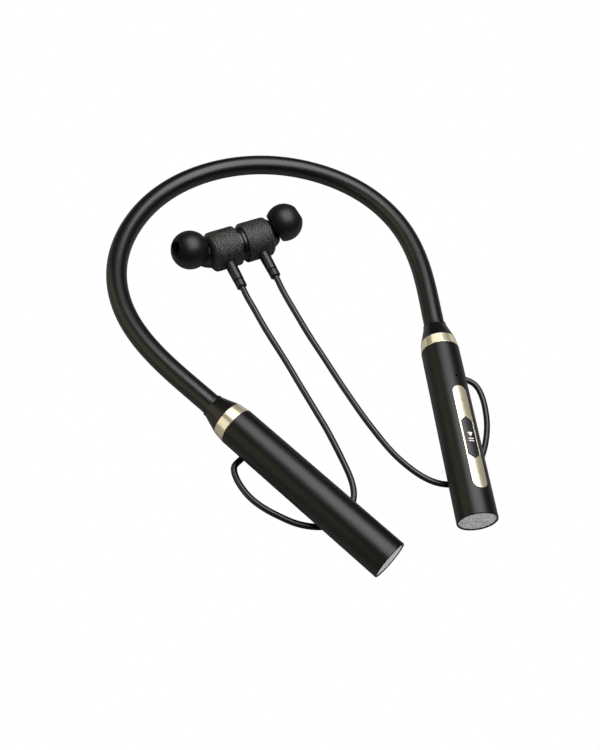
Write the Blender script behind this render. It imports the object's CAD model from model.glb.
"""Neckband headset with two corded earbuds, lying flat on a studio floor.

The band is mirrored about x = 0, with the left arm at +X. Its closed end is at +Y, the two
pods run towards -Y, and +Z is up. A cable leaves each pod, loops round at the -Y end and
comes back to the earbuds, which lie back to back on the plane x = BUD_X. All sizes are in
millimetres and mesh_object() scales them to metres.
"""
import bpy
import bmesh
import math
import numpy as np
from mathutils import Vector, Matrix


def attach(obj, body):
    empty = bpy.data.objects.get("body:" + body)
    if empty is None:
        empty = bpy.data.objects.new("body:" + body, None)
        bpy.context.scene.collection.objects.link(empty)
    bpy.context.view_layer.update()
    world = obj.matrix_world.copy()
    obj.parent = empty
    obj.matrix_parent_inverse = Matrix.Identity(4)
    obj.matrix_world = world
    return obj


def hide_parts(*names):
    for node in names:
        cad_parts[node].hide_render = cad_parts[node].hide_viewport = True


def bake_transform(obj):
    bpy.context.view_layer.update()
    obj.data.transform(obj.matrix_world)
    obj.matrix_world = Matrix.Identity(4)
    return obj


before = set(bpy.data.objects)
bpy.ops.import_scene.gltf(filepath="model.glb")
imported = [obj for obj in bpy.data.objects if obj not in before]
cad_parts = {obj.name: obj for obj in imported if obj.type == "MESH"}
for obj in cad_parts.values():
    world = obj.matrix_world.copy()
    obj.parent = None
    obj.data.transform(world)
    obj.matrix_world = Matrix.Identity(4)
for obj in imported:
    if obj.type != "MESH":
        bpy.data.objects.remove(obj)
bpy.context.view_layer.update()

MM = 0.001
SIDES = ("left", "right")


def unit(vector):
    return np.array(vector, float) / np.linalg.norm(vector)


# ------------------------------------------------------------------ driving dimensions
UP = np.array([0.0, 0.0, 1.0])
FLIP = np.array([-1.0, 1.0, 1.0])

# left pod: where its barrel starts, the way it runs, and outwards across it
POD_START = np.array([41.19, -55.81, 0.0])
POD_AXIS = unit([-0.3564, -0.9344, 0.0])
POD_OUT = unit([0.9344, -0.3564, 0.0])
POD_RADIUS = 7.0

# keys on the left pod: angle from POD_OUT towards UP, and distance of their centre along it
KEY_ANGLE = math.radians(77.5)
KEY_ALONG = 39.2
KEY_UP = POD_OUT * math.cos(KEY_ANGLE) + UP * math.sin(KEY_ANGLE)

# where the cable leaves the pod
EXIT_DROP = math.radians(60)
EXIT_DIR = POD_OUT * math.cos(-EXIT_DROP) + UP * math.sin(-EXIT_DROP)
EXIT_BASE = POD_START + POD_AXIS * 7.4

# earbuds
BUD_X = -7.10
BUD_CENTRE = np.array([BUD_X, 16.45, 2.30])
STEM_ROLL = math.radians(6.0)
STEM_DIR = np.array([0.0, -math.cos(STEM_ROLL), -math.sin(STEM_ROLL)])
NOZZLE_DIR = unit([0.870, 0.0, 0.490])
TIP_CENTRE = 7.4        # centre of the ear tip's dome along the nozzle
NOZZLE_START = BUD_CENTRE + np.array([19.78, 1.80, 2.90]) - NOZZLE_DIR * TIP_CENTRE

RIB_PITCH = 0.60        # crossed ribs of the silver discs

# left half of the band's centre line (x, y), from the middle of the closed end to the collar
BAND_LINE = [
    (0, 58.0), (6.96, 57.61), (13.83, 56.42), (20.52, 54.43), (26.91, 51.66), (32.93, 48.14),
    (38.49, 43.94), (43.55, 39.13), (48.01, 33.77), (51.78, 27.91), (54.75, 21.60),
    (56.83, 14.95), (58.02, 8.08), (58.34, 1.12), (57.82, -5.84), (56.59, -12.70),
    (54.81, -19.45), (52.62, -26.07), (50.17, -32.60), (47.62, -39.09), (45.40, -44.78),
    (43.61, -49.46)]

# centre line of each cable (x, y, z), from the pod round the loop to the earbud
CABLE_LINE = {
    "left": [
        (48.2, -66.9, -7.3), (50.15, -70.3, -7.4), (50.15, -73.4, -7.55), (49.5, -76.3, -7.65),
        (47.9, -80.6, -7.8), (45.6, -85.2, -7.95), (42.4, -89.9, -8.1), (39.2, -93.6, -8.25),
        (34.1, -98.0, -8.35), (28.5, -101.0, -8.45), (23.0, -101.9, -8.5),
        (18.5, -100.6, -8.45), (15.1, -98.1, -8.38), (11.8, -93.9, -8.2), (9.2, -88.6, -8.0),
        (7.5, -83.7, -7.87), (5.6, -74.3, -7.52), (4.4, -65.1, -7.2), (3.95, -60.0, -7.03),
        (3.6, -55.8, -6.86), (3.0, -46.4, -6.5), (2.4, -37.0, -5.9), (1.3, -28.1, -4.3),
        (0.4, -19.3, -2.3), (-0.3, -10.4, -0.5), (-0.25, -5.6, 0.02), (-0.1, -2.546, 0.304)],
    "right": [
        (-46.0, -65.8, -7.28), (-47.3, -68.9, -7.38), (-47.3, -73.2, -7.5),
        (-46.3, -78.0, -7.7), (-44.7, -81.7, -7.85), (-42.5, -85.3, -7.95),
        (-39.7, -88.9, -8.1), (-36.7, -92.3, -8.2), (-33.5, -94.9, -8.3), (-30.0, -96.9, -8.35),
        (-24.5, -98.2, -8.38), (-19.0, -96.9, -8.3), (-15.1, -93.9, -8.25),
        (-13.3, -91.5, -8.13), (-11.9, -88.0, -8.0), (-10.8, -80.2, -7.74),
        (-10.4, -72.0, -7.44), (-10.3, -63.4, -7.12), (-10.42, -60.0, -7.0),
        (-10.6, -54.5, -6.8), (-10.9, -45.4, -6.5), (-11.3, -36.3, -5.8), (-12.3, -27.5, -4.2),
        (-13.4, -18.9, -2.2), (-14.0, -10.0, -0.5), (-14.2, -5.3, 0.05),
        (-14.1, -2.546, 0.304)],
}


def mirrored(point, side):
    """a left-hand point or direction, flipped about x = 0 for the right side"""
    return np.array(point, float) * (FLIP if side == "right" else 1.0)


def bud_mirrored(point, side):
    """a point of the left earbud, flipped about x = BUD_X for the right one"""
    point = np.array(point, float)
    if side == "right":
        point[0] = 2 * BUD_X - point[0]
    return point


# ------------------------------------------------------------------ mesh helpers
def mesh_object(name, verts, faces, uvs=None):
    """verts in mm; uvs is one (u, v) pair per loop"""
    mesh = bpy.data.meshes.new(name)
    mesh.from_pydata([tuple(float(c) * MM for c in v) for v in verts], [], faces)
    if uvs is not None:
        layer = mesh.uv_layers.new(name="UVMap")
        layer.data.foreach_set("uv", np.array(uvs, np.float32).ravel())
    mesh.validate()
    mesh.update()
    ob = bpy.data.objects.new(name, mesh)
    bpy.context.scene.collection.objects.link(ob)
    return ob


def smooth(ob, degrees):
    ob.data.shade_smooth()
    ob.data.set_sharp_from_angle(angle=math.radians(degrees))


def fix_normals(ob, edit=None):
    """turn all faces outwards, after an optional edit of the bmesh"""
    bm = bmesh.new()
    bm.from_mesh(ob.data)
    if edit is not None:
        edit(bm)
    bmesh.ops.recalc_face_normals(bm, faces=bm.faces)
    bm.to_mesh(ob.data)
    bm.free()
    ob.data.update()


def run_lengths(points):
    """distance travelled along a polyline at each of its points"""
    steps = np.linalg.norm(np.diff(np.array(points, float), axis=0), axis=1)
    return np.concatenate([[0], np.cumsum(steps)])


def filleted(stations, arc_steps=6):
    """open polyline from (x, y, fillet radius) stations, with support points by each fillet"""
    points = [np.array(s[:2], float) for s in stations]
    out = []
    for i, (corner, station) in enumerate(zip(points, stations)):
        fillet = station[2]
        if fillet <= 0 or i in (0, len(points) - 1):
            out.append(corner)
            continue
        back, ahead = points[i - 1] - corner, points[i + 1] - corner
        back_len, ahead_len = np.linalg.norm(back), np.linalg.norm(ahead)
        back, ahead = back / back_len, ahead / ahead_len
        angle = math.acos(max(-1, min(1, float(back @ ahead))))
        trim = min(fillet / math.tan(angle / 2), 0.48 * back_len, 0.48 * ahead_len)
        radius = trim * math.tan(angle / 2)
        bisector = (back + ahead) / np.linalg.norm(back + ahead)
        centre = corner + bisector * (radius / math.sin(angle / 2))
        start, end = corner + back * trim, corner + ahead * trim
        if back_len > 3.2 * trim:
            out.append(start + back * min(0.6 * trim, 0.1 * back_len))
        v1, v2 = start - centre, end - centre
        cosine = float(v1 @ v2) / (np.linalg.norm(v1) * np.linalg.norm(v2))
        sweep = math.acos(max(-1, min(1, cosine)))
        for k in range(arc_steps + 1):
            f = k / arc_steps
            if sweep > 1e-4:
                arm = math.sin((1 - f) * sweep) * v1 + math.sin(f * sweep) * v2
                arm = arm / math.sin(sweep)
            else:
                arm = v1 * (1 - f) + v2 * f
            out.append(centre + arm)
        if ahead_len > 3.2 * trim:
            out.append(end + ahead * min(0.6 * trim, 0.1 * ahead_len))
    return out


def rounded_poly(points, radius):
    """closed outline with every corner filleted"""
    out = []
    for i, (x, y) in enumerate(points):
        before, after = points[i - 1], points[(i + 1) % len(points)]
        corner = filleted([(*before, 0), (x, y, radius), (*after, 0)])
        out += [tuple(p) for p in corner[1:-1]]
    return out


def spline(points, step, start_dir=None, end_dir=None):
    """cubic spline through the points, sampled at about step; an end without a direction is free"""
    p = np.array(points, float)
    chord = np.linalg.norm(np.diff(p, axis=0), axis=1)
    n = len(p)
    A = np.zeros((n, n))
    B = np.zeros_like(p)
    for i in range(1, n - 1):
        A[i, i - 1] = 1 / chord[i - 1]
        A[i, i] = 2 / chord[i - 1] + 2 / chord[i]
        A[i, i + 1] = 1 / chord[i]
        B[i] = 3 * ((p[i] - p[i - 1]) / chord[i - 1] ** 2 + (p[i + 1] - p[i]) / chord[i] ** 2)
    if start_dir is not None:
        A[0, 0] = 1
        B[0] = unit(start_dir)
    else:
        A[0, 0], A[0, 1] = 2, 1
        B[0] = 3 * (p[1] - p[0]) / chord[0]
    if end_dir is not None:
        A[-1, -1] = 1
        B[-1] = unit(end_dir)
    else:
        A[-1, -1], A[-1, -2] = 2, 1
        B[-1] = 3 * (p[-1] - p[-2]) / chord[-1]
    slope = np.linalg.solve(A, B)
    out = []
    for i in range(n - 1):
        h = chord[i]
        pieces = max(2, int(math.ceil(h / step)))
        for k in range(pieces + (1 if i == n - 2 else 0)):
            f = k / pieces
            out.append((2 * f ** 3 - 3 * f ** 2 + 1) * p[i]
                       + (f ** 3 - 2 * f ** 2 + f) * h * slope[i]
                       + (-2 * f ** 3 + 3 * f ** 2) * p[i + 1]
                       + (f ** 3 - f ** 2) * h * slope[i + 1])
    return np.array(out)


def lathe(name, profile, origin, axis, ref, segs, closed=True, relief=None, sharp=35.0):
    """turn (along the axis, radius) points; closed joins the last to the first

    ref is where the turn starts; relief[i] adds to the radius round profile point i.
    """
    axis = unit(axis)
    ref = np.array(ref, float)
    ref = unit(ref - axis * (ref @ axis))
    third = np.cross(axis, ref)
    profile = [np.array(p, float) for p in profile]
    run = run_lengths(profile + profile[:1])
    verts, rows = [], []
    angles = 2 * math.pi * np.arange(segs) / segs
    for i, (along, radius) in enumerate(profile):
        centre = origin + axis * along
        if radius < 1e-6:
            rows.append([len(verts)])
            verts.append(centre)
            continue
        radii = np.full(segs, radius)
        if relief is not None:
            radii = radii + relief[i]
        rows.append(list(range(len(verts), len(verts) + segs)))
        for t, r in zip(angles, radii):
            verts.append(centre + (ref * math.cos(t) + third * math.sin(t)) * r)
    faces, uvs = [], []
    around = 2 * math.pi * max(p[1] for p in profile)
    for i in range(len(profile) if closed else len(profile) - 1):
        A, B = rows[i], rows[(i + 1) % len(profile)]
        v0, v1 = run[i], run[i + 1]
        if len(A) == 1 and len(B) == 1:
            continue
        for k in range(segs):
            k2 = (k + 1) % segs
            u0, u1 = around * k / segs, around * (k + 1) / segs
            if len(A) == 1:
                faces.append((A[0], B[k2], B[k]))
                uvs += [((u0 + u1) / 2, v0), (u1, v1), (u0, v1)]
            elif len(B) == 1:
                faces.append((A[k], A[k2], B[0]))
                uvs += [(u0, v0), (u1, v0), ((u0 + u1) / 2, v1)]
            else:
                faces.append((A[k], A[k2], B[k2], B[k]))
                uvs += [(u0, v0), (u1, v0), (u1, v1), (u0, v1)]
    ob = mesh_object(name, verts, faces, uvs)
    fix_normals(ob)
    smooth(ob, sharp)
    return ob


def tube(name, line, radius, segs, start_dir, end_dir, up=UP, bore=None, caps=(False, True)):
    """round tube along a line; bore gives it a wall, caps close its start and end"""
    line = np.array(line, float)
    tangents = np.gradient(line, axis=0)
    tangents[0] = start_dir
    tangents[-1] = end_dir
    tangents /= np.linalg.norm(tangents, axis=1)[:, None]
    # carry one cross direction along the line so the rings don't twist
    cross = [unit(up - tangents[0] * (up @ tangents[0]))]
    for tangent in tangents[1:]:
        cross.append(unit(cross[-1] - tangent * (cross[-1] @ tangent)))
    other = np.cross(tangents, np.array(cross))
    run = run_lengths(line)
    around = 2 * math.pi * radius
    # the uv seam lies opposite the up direction
    angles = math.pi + 2 * math.pi * np.arange(segs) / segs
    verts, faces, uvs = [], [], []

    def add_wall(wall_radius, inward):
        base = len(verts)
        for point, x, y in zip(line, cross, other):
            for t in angles:
                verts.append(point + (x * math.cos(t) + y * math.sin(t)) * wall_radius)
        for i in range(len(line) - 1):
            for k in range(segs):
                k2 = (k + 1) % segs
                u0, u1 = around * k / segs, around * (k + 1) / segs
                corners = [(i, k, u0), (i, k2, u1), (i + 1, k2, u1), (i + 1, k, u0)]
                if inward:
                    corners = corners[:1] + corners[:0:-1]
                faces.append(tuple(base + row * segs + col for row, col, _ in corners))
                uvs.extend((u, run[row]) for row, _, u in corners)
        return base

    outer = add_wall(radius, inward=False)
    if bore:
        inner = add_wall(bore, inward=True)
    for row, capped in zip((0, len(line) - 1), caps):
        if not capped:
            continue
        if not bore:
            centre = len(verts)
            verts.append(line[row])
        for k in range(segs):
            a = row * segs + k
            b = row * segs + (k + 1) % segs
            if bore:
                face = (outer + a, inner + a, inner + b, outer + b)
            else:
                face = (outer + b, outer + a, centre)
            faces.append(face if row == 0 else face[::-1])
            uvs += [(0, 0)] * len(face)
    ob = mesh_object(name, verts, faces, uvs)
    smooth(ob, 50)
    return ob


def cut_hole(ob, outline, origin, along, across, up, low, high):
    """cut a straight-sided hole between two heights along up"""
    n = len(outline)
    verts = [origin + along * a + across * b + up * z for z in (low, high) for a, b in outline]
    faces = [tuple(reversed(range(n))), tuple(range(n, 2 * n))]
    for k in range(n):
        k2 = (k + 1) % n
        faces.append((k, k2, n + k2, n + k))
    cutter = mesh_object("cut", verts, faces)
    fix_normals(cutter)

    modifier = ob.modifiers.new("cut", "BOOLEAN")
    modifier.operation = "DIFFERENCE"
    modifier.solver = "EXACT"
    modifier.object = cutter
    bpy.context.view_layer.update()
    depsgraph = bpy.context.evaluated_depsgraph_get()
    mesh = bpy.data.meshes.new_from_object(ob.evaluated_get(depsgraph))
    ob.modifiers.remove(modifier)
    old = ob.data
    ob.data = mesh
    bpy.data.meshes.remove(old)
    bpy.data.objects.remove(cutter)
    ob.data.name = ob.name


def circle(radius, count):
    angles = np.linspace(0, 2 * math.pi, count, endpoint=False)
    return [(radius * math.cos(a), radius * math.sin(a)) for a in angles]


def stadium(length, width, arc_steps):
    r = width / 2
    half = length / 2 - r
    points = []
    for centre, start in ((half, -math.pi / 2), (-half, math.pi / 2)):
        for k in range(arc_steps + 1):
            a = start + math.pi * k / arc_steps
            points.append((centre + r * math.cos(a), r * math.sin(a)))
    return points


def resample(outline, count):
    """count points spread evenly along a closed outline"""
    p = np.array(list(outline) + [outline[0]], float)
    gaps = np.linalg.norm(np.diff(p, axis=0), axis=1)
    p = p[np.concatenate([[True], gaps > 1e-9])]
    run = run_lengths(p)
    t = np.linspace(0, run[-1], count, endpoint=False)
    return np.stack([np.interp(t, run, p[:, 0]), np.interp(t, run, p[:, 1])], 1)


def on_pod(u, v, height):
    """u along the pod from the key centre, v round it, height over its surface"""
    t = KEY_ANGLE + v / POD_RADIUS
    radial = POD_OUT * math.cos(t) + UP * math.sin(t)
    return POD_START + POD_AXIS * (KEY_ALONG + u) + radial * (POD_RADIUS + height)


# ------------------------------------------------------------------ materials
def is_socket(value):
    return hasattr(value, "is_output")


class Mat:
    """a Principled material with short calls for the nodes used here"""

    def __init__(self, name):
        self.material = bpy.data.materials.new(name)
        self.material.use_nodes = True
        self.tree = self.material.node_tree
        self.shader = self.tree.nodes["Principled BSDF"]

    def node(self, kind):
        return self.tree.nodes.new(kind)

    def feed(self, socket, value):
        """link a socket or set a plain value"""
        if is_socket(value):
            self.tree.links.new(value, socket)
        else:
            socket.default_value = value

    def coord(self):
        return self.node("ShaderNodeTexCoord").outputs["Object"]

    def uv(self):
        node = self.node("ShaderNodeUVMap")
        node.uv_map = "UVMap"
        return node.outputs[0]

    def mapped(self, vector, scale, rotation=(0, 0, 0)):
        node = self.node("ShaderNodeMapping")
        node.inputs["Scale"].default_value = scale
        node.inputs["Rotation"].default_value = rotation
        self.feed(node.inputs["Vector"], vector)
        return node.outputs[0]

    def noise(self, vector, scale, detail=3.0, rough=0.5):
        node = self.node("ShaderNodeTexNoise")
        node.inputs["Scale"].default_value = scale
        node.inputs["Detail"].default_value = detail
        node.inputs["Roughness"].default_value = rough
        self.feed(node.inputs["Vector"], vector)
        return node.outputs["Fac"]

    def remap(self, value, from_min, from_max, to_min, to_max):
        node = self.node("ShaderNodeMapRange")
        for i, limit in enumerate((from_min, from_max, to_min, to_max), 1):
            node.inputs[i].default_value = limit
        self.feed(node.inputs[0], value)
        return node.outputs[0]

    def vary(self, noise, low, high):
        """spread the busy middle of a noise over low to high"""
        return self.remap(noise, 0.3, 0.7, low, high)

    def math(self, operation, *values):
        node = self.node("ShaderNodeMath")
        node.operation = operation
        for socket, value in zip(node.inputs, values):
            self.feed(socket, value)
        return node.outputs[0]

    def bump(self, height, strength, distance):
        node = self.node("ShaderNodeBump")
        node.inputs["Strength"].default_value = strength
        node.inputs["Distance"].default_value = distance
        self.feed(node.inputs["Height"], height)
        return node.outputs[0]

    def mix(self, factor, color_a, color_b):
        node = self.node("ShaderNodeMix")
        node.data_type = "RGBA"
        colors = [s for s in node.inputs if s.type == "RGBA"]
        self.feed(node.inputs[0], factor)
        for socket, value in zip(colors, (color_a, color_b)):
            self.feed(socket, value if is_socket(value) else (*value, 1))
        return [s for s in node.outputs if s.type == "RGBA"][0]

    def pointiness(self, low, high):
        node = self.node("ShaderNodeNewGeometry")
        return self.remap(node.outputs["Pointiness"], low, high, 0.0, 1.0)

    def edge_wear(self):
        """0 on faces, 1 on sharp convex edges"""
        return self.pointiness(0.53, 0.62)

    def set(self, **inputs):
        for name, value in inputs.items():
            self.feed(self.shader.inputs[name.replace("_", " ")], value)


def satin(name, base, rough, grain, spread, tint, wear, bump, specular):
    """moulded plastic or silicone: fine grain, slow roughness drift, paler worn edges"""
    k = Mat(name)
    coord = k.coord()
    fine = k.noise(coord, scale=grain, rough=0.6)
    slow = k.noise(coord, scale=38.0)
    k.set(Roughness=k.math("ADD", k.vary(slow, rough - spread, rough + spread),
                           k.vary(fine, -0.008, 0.008)))
    dark = tuple(base * t * 0.86 for t in tint)
    light = tuple(base * t * 1.14 for t in tint)
    color = k.mix(k.remap(slow, 0.25, 0.75, 0, 1), dark, light)
    worn = tuple(min(1, base * t + wear) for t in tint)
    color = k.mix(k.edge_wear(), color, worn)
    k.set(Base_Color=color, Normal=k.bump(fine, strength=bump, distance=0.00004),
          Specular_IOR_Level=specular)
    return k.material


def gold_metal(name, brush_scale, rough):
    """champagne metal, brushed along the uv direction with the small scale"""
    k = Mat(name)
    uv = k.uv()
    brush = k.noise(k.mapped(uv, brush_scale), scale=1.0, rough=0.65)
    fine = k.noise(k.mapped(uv, tuple(3 * s for s in brush_scale)),
                   scale=1.0, detail=2.0, rough=0.6)
    slow = k.noise(k.coord(), scale=120.0, detail=2.0)
    lines = k.math("ADD", k.math("MULTIPLY", brush, 0.6), k.math("MULTIPLY", fine, 0.4))
    color = k.mix(k.vary(lines, 0, 1), (0.89, 0.79, 0.57), (0.93, 0.835, 0.62))
    color = k.mix(k.edge_wear(), color, (0.97, 0.90, 0.76))
    k.set(Base_Color=color, Metallic=0.80,
          Roughness=k.math("ADD", k.vary(lines, rough - 0.008, rough + 0.008),
                           k.vary(slow, -0.02, 0.02)),
          Normal=k.bump(lines, strength=0.06, distance=0.00001))
    return k.material


def leather(name):
    """pebbled black, paler on the raised pebbles"""
    k = Mat(name)
    coord = k.coord()
    voronoi = k.node("ShaderNodeTexVoronoi")
    voronoi.feature = "DISTANCE_TO_EDGE"
    voronoi.inputs["Scale"].default_value = 2300.0
    k.feed(voronoi.inputs["Vector"], coord)
    cells = k.remap(voronoi.outputs["Distance"], 0.0, 0.22, 0, 1)
    fine = k.noise(coord, scale=5200.0, rough=0.6)
    slow = k.noise(coord, scale=160.0, detail=2.0)
    height = k.math("ADD", k.math("MULTIPLY", cells, 0.8), k.math("MULTIPLY", fine, 0.35))
    peak = k.pointiness(0.47, 0.53)
    color = k.mix(k.math("MULTIPLY", cells, peak),
                  (0.0018, 0.0018, 0.0017), (0.0470, 0.0465, 0.0450))
    k.set(Base_Color=color,
          Roughness=k.math("ADD", k.remap(cells, 0, 1, 0.42, 0.22), k.vary(slow, -0.05, 0.05)),
          Normal=k.bump(height, strength=0.60, distance=0.00008))
    return k.material


def ribbed_silver(name):
    """silver with dark hollows that follow the crossed ribs of the disc mesh"""
    k = Mat(name)
    coord = k.coord()
    fine = k.noise(coord, scale=2600.0, rough=0.6)
    slow = k.noise(coord, scale=90.0, detail=2.0)
    split = k.node("ShaderNodeSeparateXYZ")
    k.feed(split.inputs[0], k.uv())
    u, v = split.outputs[0], split.outputs[1]
    turns = 2 * math.pi / (RIB_PITCH * math.sqrt(2))
    wave_a = k.math("COSINE", k.math("MULTIPLY", k.math("ADD", u, v), turns))
    wave_b = k.math("COSINE", k.math("MULTIPLY", k.math("SUBTRACT", u, v), turns))
    ribs = k.remap(k.math("ADD", wave_a, wave_b), -1.2, 1.4, 0, 1)
    speck = k.noise(coord, scale=1600.0, detail=2.0)
    shade = k.math("ADD", k.math("MULTIPLY", ribs, 0.55),
                   k.remap(speck, 0.34, 0.66, -0.06, 0.50))
    color = k.mix(shade, (0.10, 0.10, 0.105), (0.96, 0.96, 0.97))
    color = k.mix(k.vary(slow, 0, 0.10), color, (0.45, 0.45, 0.46))
    k.set(Base_Color=color, Metallic=0.35, Roughness=k.vary(fine, 0.38, 0.52),
          Normal=k.bump(fine, strength=0.3, distance=0.00005),
          Emission_Color=color, Emission_Strength=0.34)
    return k.material


def plain_metal(name, base, rough, grain=1500.0):
    k = Mat(name)
    coord = k.coord()
    streaks = k.noise(k.mapped(coord, (1, 6, 1)), scale=grain, rough=0.6)
    slow = k.noise(coord, scale=200.0, detail=2.0)
    color = k.mix(k.vary(slow, 0, 1), tuple(c * 0.85 for c in base),
                  tuple(min(1, c * 1.1) for c in base))
    k.set(Base_Color=color, Metallic=1.0, Roughness=k.vary(streaks, rough - 0.06, rough + 0.08),
          Normal=k.bump(streaks, strength=0.15, distance=0.00003))
    return k.material


def circuit_board(name):
    k = Mat(name)
    coord = k.coord()
    voronoi = k.node("ShaderNodeTexVoronoi")
    voronoi.inputs["Scale"].default_value = 900.0
    k.feed(voronoi.inputs["Vector"], coord)
    mottle = k.noise(coord, scale=400.0, detail=4.0, rough=0.6)
    color = k.mix(k.remap(voronoi.outputs["Distance"], 0.2, 0.5, 0, 1),
                  (0.006, 0.045, 0.022), (0.012, 0.085, 0.04))
    k.set(Base_Color=color, Roughness=k.vary(mottle, 0.28, 0.42),
          Normal=k.bump(mottle, strength=0.2, distance=0.00005))
    return k.material


def wire_strands(name):
    k = Mat(name)
    uv = k.uv()
    wave = k.node("ShaderNodeTexWave")
    wave.inputs["Scale"].default_value = 0.9
    wave.inputs["Distortion"].default_value = 0.4
    k.feed(wave.inputs["Vector"], k.mapped(uv, (1, 0.35, 1), rotation=(0, 0, 0.5)))
    strands = wave.outputs["Fac"]
    color = k.mix(strands, (0.22, 0.02, 0.015), (0.03, 0.03, 0.035))
    k.set(Base_Color=color, Roughness=k.remap(strands, 0, 1, 0.4, 0.5),
          Normal=k.bump(strands, strength=0.4, distance=0.0001))
    return k.material


def mark_finish(name, base, metallic, rough):
    """surface of the small raised marks on the keys"""
    k = Mat(name)
    fine = k.noise(k.coord(), scale=2500.0, rough=0.6)
    color = k.mix(k.vary(fine, 0, 1), tuple(c * 0.88 for c in base), base)
    k.set(Base_Color=color, Metallic=metallic, Roughness=k.vary(fine, rough - 0.05, rough + 0.05),
          Normal=k.bump(fine, strength=0.2, distance=0.00002))
    return k.material


# key: (name, base grey, roughness, grain scale, roughness spread, tint, edge wear, bump strength,
#       specular level); no piece wears "endcap"
SATINS = {
    "sleeve": ("band_silicone", 0.0012, 0.345, 1100, 0.03, (1.0, 1.0, 0.97), 0.002, 0.04, 0.5),
    "collar": ("collar_plastic", 0.0014, 0.34, 900, 0.03, (1, 1, 0.98), 0.01, 0.05, 0.5),
    "pod": ("pod_satin_coat", 0.0014, 0.375, 1400, 0.02, (1, 1, 1), 0.004, 0.05, 0.37),
    "endcap": ("end_cap_plastic", 0.0028, 0.32, 1400, 0.03, (1, 1, 1), 0.02, 0.08, 0.5),
    "cable": ("cable_jacket", 0.0016, 0.32, 1500, 0.04, (1, 1, 0.95), 0.002, 0.05, 0.5),
    "tip": ("tip_silicone", 0.0022, 0.44, 1300, 0.02, (1, 1, 1), 0.003, 0.04, 0.42),
    "budcap": ("bud_plastic", 0.0018, 0.33, 1300, 0.03, (1, 1, 1), 0.008, 0.05, 0.5),
    "stem": ("stem_plastic", 0.0020, 0.36, 900, 0.04, (1, 1, 0.97), 0.006, 0.12, 0.5),
    "button": ("button_plastic", 0.0120, 0.42, 1300, 0.03, (0.92, 0.95, 1.15), 0.02, 0.15, 0.5),
    "gland": ("gland_rubber", 0.0050, 0.50, 900, 0.04, (1, 1, 1), 0.01, 0.2, 0.5),
    "inner": ("inner_plastic", 0.060, 0.55, 700, 0.05, (1, 1, 1.05), 0.05, 0.2, 0.5),
}
MATERIALS = {key: satin(*row) for key, row in SATINS.items()}
# brushing runs round the rings and across the uv map's v on the plate
MATERIALS["gold_ring"] = gold_metal("ring_champagne", brush_scale=(0.10, 14.0, 1), rough=0.23)
MATERIALS["gold_plate"] = gold_metal("plate_champagne", brush_scale=(14.0, 0.10, 1), rough=0.30)
MATERIALS["leather"] = leather("barrel_grain")
MATERIALS["silver"] = ribbed_silver("disc_silver")
MATERIALS["steel"] = plain_metal("stamped_steel", base=(0.55, 0.55, 0.56), rough=0.30)
MATERIALS["dark_steel"] = plain_metal("dark_steel", base=(0.16, 0.16, 0.17), rough=0.35)
MATERIALS["magnet"] = plain_metal("nickel_plate", base=(0.62, 0.60, 0.56), rough=0.22)
MATERIALS["foil"] = plain_metal("cell_foil", base=(0.50, 0.51, 0.53), rough=0.34, grain=700)
MATERIALS["board"] = circuit_board("solder_mask")
MATERIALS["loom"] = wire_strands("loom_strands")
MATERIALS["glyph"] = mark_finish("print_ivory", base=(0.80, 0.76, 0.68), metallic=0.0, rough=0.45)
MATERIALS["glyph_gold"] = mark_finish("engraved_champagne", base=(0.80, 0.69, 0.50),
                                      metallic=1.0, rough=0.34)


def dress(ob, material, body, slot, *replaces):
    ob.data.materials.clear()
    ob.data.materials.append(MATERIALS[material])
    if body:
        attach(ob, body)
    if replaces:
        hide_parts(*replaces)


# ------------------------------------------------------------------ band
def build_band(side):
    """silicone sleeve with a spring wire and a wire loom inside, one run a side"""
    line = mirrored(spline([(x, y, 0.0) for x, y in BAND_LINE], 0.8, (1, 0, 0), POD_AXIS), side)
    start_dir = mirrored((1, 0, 0), side)
    end_dir = mirrored(POD_AXIS, side)
    into_pod = [line[-1] + end_dir * reach for reach in (3, 6, 12.8)]
    loom_line = np.vstack([line, *into_pod]) + np.array([0, 0, -0.80])
    wire_line = line + np.array([0, 0, 1.2])
    # name, line, radius, segments, bore, material, slot, stem of the replaced names
    pieces = (
        ("band_sleeve_", line, 3.82, 72, 2.0, "sleeve", "silicone_sleeve", "sleeve_"),
        ("memory_wire_", wire_line, 0.60, 20, None, "dark_steel", "spring_wire", "core_wire_"),
        ("wire_loom_", loom_line, 0.95, 24, None, "loom", "wire_loom", "harness_"),
    )
    for name, path, radius, segs, bore, material, slot, replaced in pieces:
        ob = tube(name + side, path, radius, segs, start_dir, end_dir, bore=bore)
        rear = [replaced + "rear"] if side == "left" else []
        dress(ob, material, None, slot, replaced + side, *rear)
        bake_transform(ob)


for side in SIDES:
    build_band(side)

# ------------------------------------------------------------------ pods
# turned profiles: (along the pod, radius, fillet)
COLLAR = [
    (-11.8, 3.86, 0), (-11.8, 4.30, 0.16), (-10.7, 4.34, 1.2), (-4.35, 6.42, 0.10),
    (-4.35, 5.55, 0), (3.0, 5.55, 0), (3.0, 4.6, 0), (-4.2, 4.6, 0), (-4.6, 2.8, 0),
    (-6.7, 2.8, 0), (-6.7, 3.86, 0)]
TRIM_RING = [
    (-4.28, 5.62, 0), (-4.28, 6.46, 0.14), (-0.06, POD_RADIUS, 0.16), (-0.06, 5.62, 0)]
BARREL_SHELL = [
    (0.04, 5.90, 0), (0.04, POD_RADIUS, 0.12), (66.585, POD_RADIUS, 0.02), (66.585, 5.90, 0)]
END_CAP = [
    (67.2, 0.0, 0), (67.2, 6.38, 0), (68.30, 6.40, 0.10), (68.30, POD_RADIUS, 0.24),
    (66.60, POD_RADIUS, 0.02), (66.60, 5.84, 0), (61.0, 5.84, 0), (61.0, 5.0, 0),
    (66.2, 5.0, 0), (66.2, 0.0, 0)]


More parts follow.
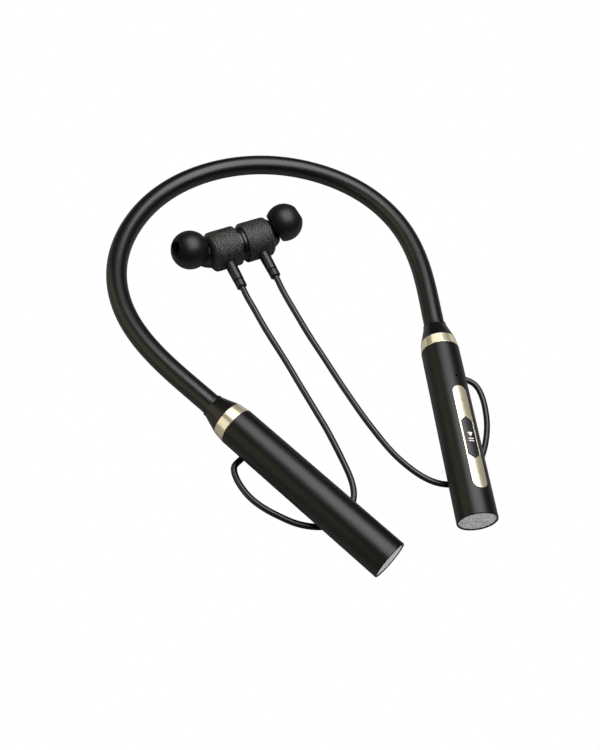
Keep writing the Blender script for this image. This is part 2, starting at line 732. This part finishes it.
def cut_pod(ob, side):
    """the cable's hole, and on the left pod the three openings round the keys"""
    axis = mirrored(POD_AXIS, side)
    exit_dir = mirrored(EXIT_DIR, side)
    cut_hole(ob, circle(1.93, 40), mirrored(EXIT_BASE, side),
             axis, np.cross(exit_dir, axis), exit_dir, 4.5, 8.5)
    if side == "right":
        return
    across = np.cross(KEY_UP, POD_AXIS)
    # outline, distance along the pod, direction it is cut in
    openings = (
        (stadium(40.64, 5.64, 40), KEY_ALONG, KEY_UP),      # slot for the key plate
        (circle(0.45, 28), 14.8, KEY_UP),                   # pinhole before the keys
        (stadium(9.2, 3.5, 24), 26.5, -KEY_UP),             # slot on the opposite face
    )
    for outline, along, direction in openings:
        origin = POD_START + POD_AXIS * along
        cut_hole(ob, outline, origin, POD_AXIS, across, direction, 4.0, 9.0)


def silver_disc(side, origin, axis, out):
    """disc with real crossed ribs, flattened at its rim and closed behind"""
    radius = 6.35
    grid = 0.075
    rib_height = 0.11
    face_along, back_along = 67.97, 67.22
    rim_width, rim_drop = 0.25, 0.09
    reach = int(radius / grid) + 1
    ticks = np.arange(-reach, reach + 1) * grid
    index = {}
    verts, faces, uvs = [], [], []
    for i, a in enumerate(ticks):
        for j, b in enumerate(ticks):
            r = math.hypot(a, b)
            if r > radius + grid * 0.75:
                continue
            x, y = (a * radius / r, b * radius / r) if r > radius else (a, b)
            fade = min(1.0, max(0.0, (radius - math.hypot(x, y)) / rim_width))
            p = (x + y) / math.sqrt(2) / RIB_PITCH
            q = (x - y) / math.sqrt(2) / RIB_PITCH
            ribs = rib_height * 0.5 * (math.cos(2 * math.pi * p) + math.cos(2 * math.pi * q))
            along = face_along - rim_drop * (1 - fade) + ribs * fade
            index[(i, j)] = len(verts)
            verts.append(origin + axis * along + out * x + UP * y)
    for i, j in index:
        corners = [(i, j), (i + 1, j), (i + 1, j + 1), (i, j + 1)]
        corners = [c for c in corners if c in index]
        if len(corners) >= 3:
            faces.append(tuple(index[c] for c in corners))
            uvs += [(ticks[c[0]], ticks[c[1]]) for c in corners]
    ob = mesh_object("silver_disc_" + side, verts, faces, uvs)

    def close_back(bm):
        rim = [e for e in bm.edges if len(e.link_faces) == 1]
        new = bmesh.ops.extrude_edge_only(bm, edges=rim)["geom"]
        for v in new:
            if isinstance(v, bmesh.types.BMVert):
                point = np.array(v.co) / MM
                along = float((point - origin) @ axis)
                v.co = Vector((point + axis * (back_along - along)) * MM)
        edges = [e for e in new if isinstance(e, bmesh.types.BMEdge)]
        bmesh.ops.contextual_create(bm, geom=edges)

    fix_normals(ob, close_back)
    smooth(ob, 60)
    return ob


def build_pod(side):
    origin = mirrored(POD_START, side)
    axis = mirrored(POD_AXIS, side)
    arm = "arm_" + side
    # smooth cone that takes the sleeve
    ob = lathe("collar_cone_" + side, filleted(COLLAR), origin, axis, -UP, 160)
    dress(ob, "collar", arm, "pod_plastic", "collar_" + side)
    ob = lathe("gold_ring_" + side, filleted(TRIM_RING), origin, axis, -UP, 192)
    dress(ob, "gold_ring", arm, "gold_trim", "trim_ring_" + side)
    ob = lathe("pod_barrel_" + side, filleted(BARREL_SHELL, 4), origin, axis, -UP, 224)
    cut_pod(ob, side)
    smooth(ob, 30)
    dress(ob, "pod", arm, "pod_plastic", "pod_shell_" + side)
    # end cap with its raised rim, and the disc set in it
    ob = lathe("end_cap_" + side + "_rim", filleted(END_CAP), origin, axis, -UP, 192,
               closed=False)
    dress(ob, "pod", arm, "cap_plastic", "end_cap_" + side)
    ob = silver_disc(side, origin, axis, mirrored(POD_OUT, side))
    dress(ob, "silver", arm, "silver_plate", "end_plate_" + side)


for side in SIDES:
    build_pod(side)

# ------------------------------------------------------------------ keys on the left pod
CALL_KEY_HALF = 2.1
# hexagon of the call key: (along the pod, across)
CALL_KEY_OUTLINE = [
    (31.9, 0), (33.6, CALL_KEY_HALF), (46.7, CALL_KEY_HALF),
    (48.1, 0), (46.7, -CALL_KEY_HALF), (33.6, -CALL_KEY_HALF)]


def outline_normals(P):
    """outward normals of a closed outline"""
    t = np.roll(P, -1, 0) - np.roll(P, 1, 0)
    t /= np.linalg.norm(t, axis=1)[:, None]
    normals = np.stack([t[:, 1], -t[:, 0]], 1)
    return -normals if ((P - P.mean(0)) * normals).sum() < 0 else normals


def turning(P):
    """sign tells which way round an outline runs"""
    return float((P[:, 0] * np.roll(P[:, 1], -1) - np.roll(P[:, 0], -1) * P[:, 1]).sum())


def from_far_end(P, normals):
    """both arrays rolled so that they start at the outline's largest u"""
    k = int(np.argmax(P[:, 0]))
    return np.roll(P, -k, 0), np.roll(normals, -k, 0)


def wrapped_plate(name, outline, hole, top, bottom, edge, rings):
    """plate with rounded top edges, wrapped on the pod; hole is an outline or None"""
    count = 240
    outer = resample(outline, count)
    centre = outer.mean(0)
    outer_n = outline_normals(outer)
    if hole is not None:
        inner = resample(hole, count)
        inner_n = outline_normals(inner)
        # same sense and same starting end, so the rows between them never fold
        if turning(outer) * turning(inner) < 0:
            inner, inner_n = inner[::-1], inner_n[::-1]
        outer, outer_n = from_far_end(outer, outer_n)
        inner, inner_n = from_far_end(inner, inner_n)
    arc = [math.pi / 2 * k / 4 for k in range(5)]

    def rounded_edge(P, inset, angles):
        return [(P + inset * edge * (1 - math.cos(a)), top - edge + edge * math.sin(a))
                for a in angles]

    # rows of (outline, height), from the outer foot over the top
    rows = [(outer, bottom), (outer, top - edge * 1.5)] + rounded_edge(outer, -outer_n, arc)
    top_outer = outer - outer_n * edge
    if hole is not None:
        target = inner + inner_n * edge
    else:
        # the top closes on a straight spine
        half = (outer[:, 0].max() - outer[:, 0].min()) * 0.36
        target = np.stack([np.clip(outer[:, 0], centre[0] - half, centre[0] + half),
                           np.full(count, centre[1])], 1)
    for k in range(1, rings + 1):
        f = k / (rings + 1)
        rows.append((top_outer * (1 - f) + target * f, top))
    if hole is not None:
        rows += rounded_edge(inner, inner_n, arc[::-1])
        rows += [(inner, top - edge * 1.5), (inner, bottom)]

    verts = [on_pod(a, b, height) for P, height in rows for a, b in P]
    faces, uvs = [], []
    n = len(rows)
    for i in range(n if hole is not None else n - 1):
        j = (i + 1) % n
        A, B = rows[i][0], rows[j][0]
        for k in range(count):
            k2 = (k + 1) % count
            faces.append((i * count + k, i * count + k2, j * count + k2, j * count + k))
            uvs += [tuple(A[k]), tuple(A[k2]), tuple(B[k2]), tuple(B[k])]
    ob = mesh_object(name, verts, faces, uvs)

    def close_solid(bm):
        bmesh.ops.remove_doubles(bm, verts=list(bm.verts)[-count:], dist=0.00003)
        open_edges = [e for e in bm.edges if len(e.link_faces) == 1]
        bmesh.ops.holes_fill(bm, edges=open_edges, sides=0)

    fix_normals(ob, close_solid if hole is None else None)
    smooth(ob, 40)
    return ob


def grown(outline, amount):
    """the hexagon grown by amount; its two end points move 1.35 times as far, along only"""
    centre = np.array(outline, float).mean(0)
    out = []
    for u, v in outline:
        du, dv = u - centre[0], v - centre[1]
        is_point = abs(dv) < 0.3
        out.append((u + amount * (1.35 if is_point else 1.0) * math.copysign(1, du),
                    v + (0 if is_point else amount * math.copysign(1, dv))))
    return out


def key_mark(name, shapes, low, high, body, material, along):
    """thin raised strokes wrapped on the pod; shapes are convex outlines"""
    count = 36
    verts, faces = [], []
    for shape in shapes:
        P = resample(shape, count)
        centre = P.mean(0)
        base = len(verts)
        for height, scale in ((low, 1.0), (high, 1.0), (high, 0.93), (high, 0.5)):
            for q in P:
                u, v = centre + (q - centre) * scale
                verts.append(on_pod(u + along, v, height))
        verts.append(on_pod(centre[0] + along, centre[1], high))
        for row in range(3):
            a = base + row * count
            for k in range(count):
                k2 = (k + 1) % count
                faces.append((a + k, a + k2, a + count + k2, a + count + k))
        last = base + 3 * count
        for k in range(count):
            faces.append((last + k, last + (k + 1) % count, last + count))
        faces.append(tuple(base + k for k in reversed(range(count))))
    ob = mesh_object(name, verts, faces)
    fix_normals(ob)
    smooth(ob, 40)
    dress(ob, material, body, "gold_trim")


def bar(u, v, length, width, radius):
    x, y = length / 2, width / 2
    return rounded_poly([(u - x, v - y), (u + x, v - y), (u + x, v + y), (u - x, v + y)], radius)


hexagon = [(along - KEY_ALONG, across) for along, across in CALL_KEY_OUTLINE]
ob = wrapped_plate("key_plate", stadium(40.2, 5.44, 48), rounded_poly(grown(hexagon, 0.10), 0.45),
                   top=0.12, bottom=-0.62, edge=0.06, rings=14)
dress(ob, "gold_plate", "volume_rocker", "gold_trim", "volume_rocker")
ob = wrapped_plate("call_key", rounded_poly(grown(hexagon, -0.05), 0.40), None,
                   top=0.20, bottom=-1.0, edge=0.14, rings=10)
dress(ob, "button", "call_button", "button_plastic", "call_button")

# play and pause marks on the call key, plus and minus on the plate
play = rounded_poly([(-1.95, -1.0), (-1.95, 1.0), (-0.15, 0.0)], 0.14)
pause = [bar(u, 0, 0.42, 1.9, 0.10) for u in (0.55, 1.45)]
stroke = bar(0, 0, 0.26, 1.5, 0.08)
plus_arms = [bar(u, 0, 0.62, 0.26, 0.08) for u in (-0.44, 0.44)]
key_mark("key_mark", [play] + pause, 0.17, 0.225, "call_button", "glyph", along=0.95)
key_mark("plus_mark", [stroke] + plus_arms, 0.10, 0.150, "volume_rocker", "glyph_gold",
         along=-14.0)
key_mark("minus_mark", [stroke], 0.10, 0.150, "volume_rocker", "glyph_gold", along=14.6)

# ------------------------------------------------------------------ cables
BEND_RADIUS = 1.76
BEND_START = EXIT_BASE + EXIT_DIR * 7.35


def exit_bend(drop):
    """point on the bend where the cable still falls at the angle drop"""
    outward = BEND_RADIUS * (math.sin(EXIT_DROP) - math.sin(drop))
    down = BEND_RADIUS * (math.cos(drop) - math.cos(EXIT_DROP))
    return BEND_START + POD_OUT * outward - UP * down


# from inside the left pod out through its hole and round to level
POD_EXIT = [EXIT_BASE + EXIT_DIR * reach for reach in (4.2, 5.3, 6.4)]
POD_EXIT += [BEND_START, exit_bend(math.radians(30)), exit_bend(0), exit_bend(0) + POD_OUT * 1.2]

# x where the loop's blend starts and ends
LOOP_BLEND_X = {"left": (23.0, 13.5), "right": (-19.5, -12.2)}


def build_cable(side):
    """one continuous line in three stretches that meet past the loop and near the earbud"""
    exit_dir = mirrored(EXIT_DIR, side)
    line = spline([mirrored(p, side) for p in POD_EXIT] + CABLE_LINE[side], 0.7,
                  exit_dir, -STEM_DIR)
    line = np.vstack([line, line[-1] - STEM_DIR * 0.5, line[-1] - STEM_DIR * 1.1])
    y = line[:, 1]
    last = len(line) - 1
    past_loop = np.arange(len(line)) > int(np.argmin(y))
    base_start = int(np.argmax(past_loop & (y > -77.0)))
    run_start = int(np.argmax(past_loop & (y > -30.0)))
    tangents = np.gradient(line, axis=0)
    loop_x0, loop_x1 = LOOP_BLEND_X[side]
    # name, first and last point, radius, bodies blended, blend start and end, replaced
    stretches = (
        ("cable_pod_end_", 0, base_start, 1.10, "arm_", "cable_base_",
         (loop_x0, -97, -8.4), (loop_x1, -97, -8.4), "cable_loop_"),
        ("cable_middle_", base_start, run_start, 1.13, "cable_base_", "cable_run_",
         (0, -72, -7), (0, -46, -7), "cable_base_"),
        ("cable_bud_end_", run_start, last, 1.16, "cable_run_", "earbud_",
         (0, -15.5, 0), (0, -2.6, 0), "cable_run_"),
    )
    for name, a, b, radius, body_a, body_b, start, end, replaced in stretches:
        ob = tube(name + side, line[a:b + 1], radius, 36, tangents[a], tangents[b],
                  up=UP if a else np.cross(exit_dir, POD_AXIS), caps=(a == 0, b == last))
        dress(ob, "cable", None, "cable_jacket", replaced + side)
        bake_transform(ob)


for side in SIDES:
    build_cable(side)

# ------------------------------------------------------------------ earbuds
BARREL_RADIUS = 7.65
BARREL_GRAIN_START, BARREL_GRAIN_LENGTH = 1.72, 8.75
# edges of the barrel either side of the grained strip: (along, radius)
BARREL_BACK = [(1.35, 6.75), (1.35, 7.20), (1.38, 7.36), (1.47, 7.50), (1.60, 7.60)]
BARREL_FRONT = [(10.56, 7.58), (10.66, 7.48), (10.70, 7.36), (10.70, 6.75)]

# turned profiles: (along, radius, fillet)
MAGNET_CAP = [
    (0.05, 0, 0), (0.05, 6.5, 0.35), (1.30, 6.5, 0.05), (1.30, 6.68, 0.04), (2.9, 6.68, 0),
    (2.9, 5.9, 0), (1.0, 5.9, 0), (1.0, 0, 0)]
NOZZLE = [
    (-0.9, 1.90, 0), (-0.9, 2.60, 0), (9.8, 2.60, 0.15), (9.8, 2.22, 0.06), (9.25, 2.22, 0),
    (9.25, 1.90, 0)]
STEM = [
    (6.9, 0.95, 0), (6.9, 2.16, 0), (8.40, 2.16, 0.3), (15.12, 2.04, 0.16), (15.12, 0.95, 0)]
BOOT = [
    (14.6, 0.0, 0), (14.6, 0.92, 0), (15.10, 1.42, 0.03), (15.44, 1.42, 0.05),
    (15.50, 1.98, 0.14), (18.2, 2.00, 0.20), (18.2, 1.36, 0.12), (17.3, 1.24, 0),
    (17.3, 0.0, 0)]

# front cap and neck: splined outer faces, then the cap's inside, as (along, radius)
FRONT_CAP_FACE = [
    (10.78, 7.50), (11.0, 7.60), (11.6, 7.42), (12.2, 6.80), (12.7, 5.80), (13.0, 4.55),
    (13.1, 3.2), (13.12, 2.0)]
FRONT_CAP_INSIDE = [
    (13.12, 1.95), (12.3, 1.95), (12.2, 3.0), (12.3, 4.6), (11.6, 5.6), (10.4, 5.96),
    (8.95, 5.96)]
NECK_FACE = [
    (-3.2, 5.95), (-1.6, 6.00), (0.0, 5.86), (1.2, 5.45), (2.1, 4.90), (2.6, 4.2),
    (2.75, 3.2), (2.8, 2.3)]


def pebble_grain(length, height, cell, seed):
    """pebbled height map, 0 to 1, on a strip that wraps round: length round, height along"""
    grid = 0.10
    draws = np.random.RandomState(seed)
    nu, nv = int(length / grid), int(height / grid) + 1
    cells_u, cells_v = int(round(length / cell)), int(round(height / cell)) + 2
    cell_u = length / cells_u
    centre_u = (np.arange(cells_u)[:, None] + draws.rand(cells_u, cells_v)) * cell_u
    centre_v = (np.arange(cells_v)[None, :] - 0.5 + draws.rand(cells_u, cells_v)) * cell
    u = (np.arange(nu) * length / nu)[:, None]
    v = (np.arange(nv) * height / (nv - 1))[None, :]
    nearest = np.full((nu, nv), 9.0)
    second = np.full((nu, nv), 9.0)
    home_u = (u / cell_u).astype(int)
    home_v = (v / cell + 0.5).astype(int)
    for di in range(-2, 3):
        for dj in range(-2, 3):
            i = (home_u + di) % cells_u
            j = np.clip(home_v + dj, 0, cells_v - 1)
            du = np.abs(u - centre_u[i, j])
            du = np.minimum(du, length - du)
            d = np.hypot(du, v - centre_v[i, j])
            closer = d < nearest
            runner_up = np.minimum(second, np.where(d > nearest + 1e-9, d, second))
            second = np.where(closer, nearest, runner_up)
            nearest = np.where(closer, d, nearest)
    edge = np.clip((second - nearest) / (0.45 * cell), 0, 1)
    return np.sqrt(edge) * (0.75 + 0.25 * np.clip(1 - nearest / cell, 0, 1))


def grain_barrel(side, axis, seed):
    """barrel with the pebbled grain in its surface, fading out at both ends"""
    grain = pebble_grain(2 * math.pi * BARREL_RADIUS, BARREL_GRAIN_LENGTH, cell=0.62, seed=seed)
    segs, rows = grain.shape
    strip = [(BARREL_GRAIN_START + BARREL_GRAIN_LENGTH * j / (rows - 1), BARREL_RADIUS)
             for j in range(rows)]
    profile = BARREL_BACK + strip + BARREL_FRONT
    relief = np.zeros((len(profile), segs))
    for j in range(rows):
        fade = min(1.0, min(j, rows - 1 - j) / 5.0)
        relief[len(BARREL_BACK) + j] = (grain[:, j] - 0.8) * 0.155 * fade
    return lathe("grain_barrel_" + side, profile, BUD_CENTRE, axis, (0, 1, 0), segs,
                 relief=relief, sharp=70)


def silicone_tip(side, origin, axis):
    """hollow dome with a rolled front lip, an inner core and a rounded back rim"""
    centre, radius, wall = TIP_CENTRE, 7.28, 0.72
    dome = []
    for a in np.linspace(math.radians(127), math.radians(22.8), 56):
        x = radius * math.cos(a)
        dome.append((centre + x * (1.0 if x < 0 else 0.985), radius * math.sin(a)))
    (x0, y0), (x1, y1) = dome[-2:]
    lip = spline([(x1, y1), (centre + 6.72, 2.70), (centre + 6.64, 2.58), (centre + 6.36, 2.52),
                  (centre + 5.0, 2.52), (centre + 3.4, 2.62)], 0.12, (x1 - x0, y1 - y0), (-1, 0))
    core = [(3.4, 2.62), (3.4, 3.5), (centre + 3.2, 3.5), (centre + 4.6, 3.62)]
    inside = [(centre + (radius - wall) * math.cos(a), (radius - wall) * math.sin(a))
              for a in np.linspace(math.radians(35), math.radians(127), 40)]
    (xi, yi), (xo, yo) = inside[-1], dome[0]
    rim = spline([(xi, yi), (xi - 0.26, yi + 0.20), (xo - 0.06, yo - 0.10), (xo, yo)], 0.08)
    profile = dome + list(lip[1:]) + core + inside + list(rim[1:-1])
    return lathe("silicone_tip_" + side, profile, origin, axis, (0, 0, 1), 144, sharp=50)


def build_earbud(side, seed):
    bud = "earbud_" + side
    axis = mirrored((1, 0, 0), side)
    ob = grain_barrel(side, axis, seed)
    dress(ob, "leather", bud, "bud_texture", "barrel_" + side)
    ob = lathe("magnet_cap_" + side, filleted(MAGNET_CAP), BUD_CENTRE, axis, (0, 1, 0), 128,
               closed=False)
    dress(ob, "budcap", bud, "bud_plastic", "back_cap_" + side)
    profile = [(8.95, 6.68), (10.78, 6.68), *spline(FRONT_CAP_FACE, 0.18), *FRONT_CAP_INSIDE]
    ob = lathe("front_cap_" + side + "_dome", profile, BUD_CENTRE, axis, (0, 1, 0), 128)
    dress(ob, "leather", bud, "bud_plastic", "front_cap_" + side)

    # the neck, nozzle and tip share the slanted nozzle axis
    nozzle_dir = mirrored(NOZZLE_DIR, side)
    nozzle_start = bud_mirrored(NOZZLE_START, side)
    ob = lathe("front_neck_" + side, [(-3.2, 2.3), *spline(NECK_FACE, 0.2)],
               nozzle_start, nozzle_dir, (0, 0, 1), 128)
    dress(ob, "budcap", bud, "bud_plastic")
    ob = lathe("nozzle_" + side, filleted(NOZZLE, 4), nozzle_start, nozzle_dir, (0, 0, 1), 72)
    dress(ob, "budcap", bud, "bud_plastic")
    ob = silicone_tip(side, nozzle_start, nozzle_dir)
    dress(ob, "tip", "ear_tip_" + side, "tip_silicone", "ear_tip_" + side)

    # stem, then the boot round the cable with its groove and open mouth
    stem_start = bud_mirrored(BUD_CENTRE + np.array([7.0, 0, 0]), side)
    ob = lathe("stem_tube_" + side, filleted(STEM, 5), stem_start, STEM_DIR, axis, 72)
    dress(ob, "stem", bud, "bud_plastic", "stem_" + side)
    ob = lathe("strain_boot_" + side, filleted(BOOT, 5), stem_start, STEM_DIR, axis, 72,
               closed=False)
    dress(ob, "stem", bud, "bud_plastic", "boot_" + side)


for side, seed in zip(SIDES, (5, 6)):
    build_earbud(side, seed)

# ------------------------------------------------------------------ CAD pieces that stay
CAD_MATERIALS = {
    "carrier_left": "inner", "carrier_right": "inner", "rocker_saddle": "inner",
    "main_board": "board", "protection_board": "board", "tact_switches": "steel",
    "microphone": "steel", "bluetooth_module": "steel", "usb_port": "steel",
    "board_screws": "dark_steel", "battery_cell": "foil", "mic_gasket": "gland",
    "cable_gland_left": "gland", "cable_gland_right": "gland", "magnet_left": "magnet",
    "magnet_right": "magnet", "driver_left": "steel", "driver_right": "steel",
    "nozzle_mesh_left": "dark_steel", "nozzle_mesh_right": "dark_steel",
}
for name, key in CAD_MATERIALS.items():
    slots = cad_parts[name].data.materials
    if not slots:
        slots.append(MATERIALS[key])
    for i in range(len(slots)):
        slots[i] = MATERIALS[key]


# ------------------------------------------------------------------ floor and world
def floor_material():
    """grey to the scene's light, plain white to the camera"""
    k = Mat("studio_floor")
    drift = k.noise(k.coord(), scale=9.0)
    k.set(Base_Color=k.mix(k.vary(drift, 0, 1), (0.24, 0.24, 0.24), (0.27, 0.27, 0.27)),
          Roughness=0.9)
    white = k.node("ShaderNodeEmission")
    white.inputs[0].default_value = (1, 1, 1, 1)
    white.inputs[1].default_value = 1.0
    path = k.node("ShaderNodeLightPath")
    choose = k.node("ShaderNodeMixShader")
    k.feed(choose.inputs[0], path.outputs["Is Camera Ray"])
    k.feed(choose.inputs[1], k.shader.outputs[0])
    k.feed(choose.inputs[2], white.outputs[0])
    k.feed(k.tree.nodes["Material Output"].inputs[0], choose.outputs[0])
    return k.material


def build_floor():
    """large plane that rises slightly towards +Y"""
    reach = 3000.0
    height, slope = -5.98, 0.0361
    corners = [(-reach, -reach), (reach, -reach), (reach, reach), (-reach, reach)]
    floor = mesh_object("floor", [(x, y, height + slope * y) for x, y in corners],
                        [(0, 1, 2, 3)])
    floor.data.materials.append(floor_material())


def build_world():
    """white to the camera, a faint cool fill for everything else"""
    world = bpy.data.worlds.new("studio")
    bpy.context.scene.world = world
    world.use_nodes = True
    nodes, links = world.node_tree.nodes, world.node_tree.links
    backdrop = nodes["Background"]
    backdrop.inputs[0].default_value = (1, 1, 1, 1)
    backdrop.inputs[1].default_value = 1.0
    fill = nodes.new("ShaderNodeBackground")
    fill.inputs[0].default_value = (0.9, 0.9, 0.92, 1)
    fill.inputs[1].default_value = 0.03
    path = nodes.new("ShaderNodeLightPath")
    choose = nodes.new("ShaderNodeMixShader")
    links.new(path.outputs["Is Camera Ray"], choose.inputs[0])
    links.new(fill.outputs[0], choose.inputs[1])
    links.new(backdrop.outputs[0], choose.inputs[2])
    links.new(choose.outputs[0], nodes["World Output"].inputs[0])


build_floor()
build_world()


# ------------------------------------------------------------------ lights
def area_light(name, location, rotation, size, power, color):
    light = bpy.data.lights.new(name, "AREA")
    light.shape = "RECTANGLE"
    light.size, light.size_y = size[0] * MM, size[1] * MM
    light.energy = power
    light.color = color
    ob = bpy.data.objects.new(name, light)
    bpy.context.scene.collection.objects.link(ob)
    ob.location = Vector(location) * MM
    ob.rotation_euler = rotation
    ob.visible_camera = False
    return ob


def softbox(name, location, target, size, power, color=(1, 1, 1)):
    """rectangle of light facing a target"""
    aim = (Vector(target) - Vector(location)) * MM
    rotation = aim.to_track_quat("-Z", "Y").to_euler()
    return area_light(name, location, rotation, size, power, color)


def light_only(light, objects):
    receivers = bpy.data.collections.new(light.name + "_sees")
    for ob in objects:
        receivers.objects.link(ob)
    light.light_linking.receiver_collection = receivers


def trim_card(name, target, aim, along, distance, size, power, lights):
    """card seen from target in the direction aim, its long side along, lighting one piece"""
    z = -Vector(aim).normalized()
    x = Vector(along)
    x = (x - z * x.dot(z)).normalized()
    rotation = Matrix((x, (-z).cross(x), -z)).transposed().to_euler()
    location = tuple(np.array(target) + np.array(aim) * distance)
    card = area_light(name, location, rotation, size, power, color=(1.0, 0.97, 0.90))
    light_only(card, [bpy.data.objects[lights]])


softbox("top_box", location=(115, -8, 415), target=(115, -8, 0), size=(440, 500), power=3.55)
side_card = softbox("side_card", location=(-1370, 568, 207), target=(0, 0, 0),
                    size=(2260, 2260), power=15.5, color=(1.0, 0.94, 0.62))
NOT_WARMED = ("silicone_tip_", "gold_ring_right")
light_only(side_card, [ob for ob in bpy.context.scene.objects
                       if ob.type == "MESH" and not ob.name.startswith(NOT_WARMED)])

# cards that only the bright metal trim picks up
LEFT_RING, RIGHT_RING, PLATE = (42, -54, 0), (-42, -54, 0), (0, -50, 0)
trim_card("ring_high_right", RIGHT_RING, aim=(0.095, 0.638, 0.764), along=(0.886, 0.284, -0.366),
          distance=800, size=(800, 340), power=0.98, lights="gold_ring_right")
trim_card("ring_high_left", LEFT_RING, aim=(0.094, 0.831, 0.548), along=(0.88, -0.33, 0.34),
          distance=800, size=(740, 340), power=0.88, lights="gold_ring_left")
trim_card("ring_side_left", LEFT_RING, aim=(0.93, 0.36, 0.02), along=(0, 0, 1),
          distance=800, size=(260, 260), power=0.12, lights="gold_ring_left")
trim_card("ring_side_right", RIGHT_RING, aim=(-0.89, 0.25, 0.37), along=(-0.43, -0.197, -0.88),
          distance=800, size=(700, 340), power=0.78, lights="gold_ring_right")
trim_card("plate_high", PLATE, aim=(0.232, 0.598, 0.803), along=(1, 0, 0),
          distance=1120, size=(800, 700), power=1.18, lights="key_plate")
trim_card("plate_side", PLATE, aim=(-0.877, 0.068, 0.468), along=(0, 1, 0),
          distance=1026, size=(420, 420), power=0.28, lights="key_plate")


# ------------------------------------------------------------------ camera
def build_camera():
    camera = bpy.data.cameras.new("cam")
    camera.lens = 46.213
    camera.sensor_width = 36.0
    camera.sensor_fit = "AUTO"
    camera.clip_start = 0.01
    camera.clip_end = 20
    ob = bpy.data.objects.new("cam", camera)
    bpy.context.scene.collection.objects.link(ob)
    right = Vector((0.88737865, -0.44657869, 0.11457134))
    up = Vector((0.31553999, 0.7694621, 0.55530405))
    forward = Vector((0.33614526, 0.45661312, -0.82371768))
    pose = Matrix((right, up, -forward)).transposed().to_4x4()
    pose.translation = Vector((-126.364, -201.051, 281.244)) * MM
    ob.matrix_world = pose
    bpy.context.scene.camera = ob


build_camera()
bpy.context.scene.view_settings.view_transform = "Standard"
bpy.context.scene.view_settings.look = "None"

bpy.context.view_layer.update()
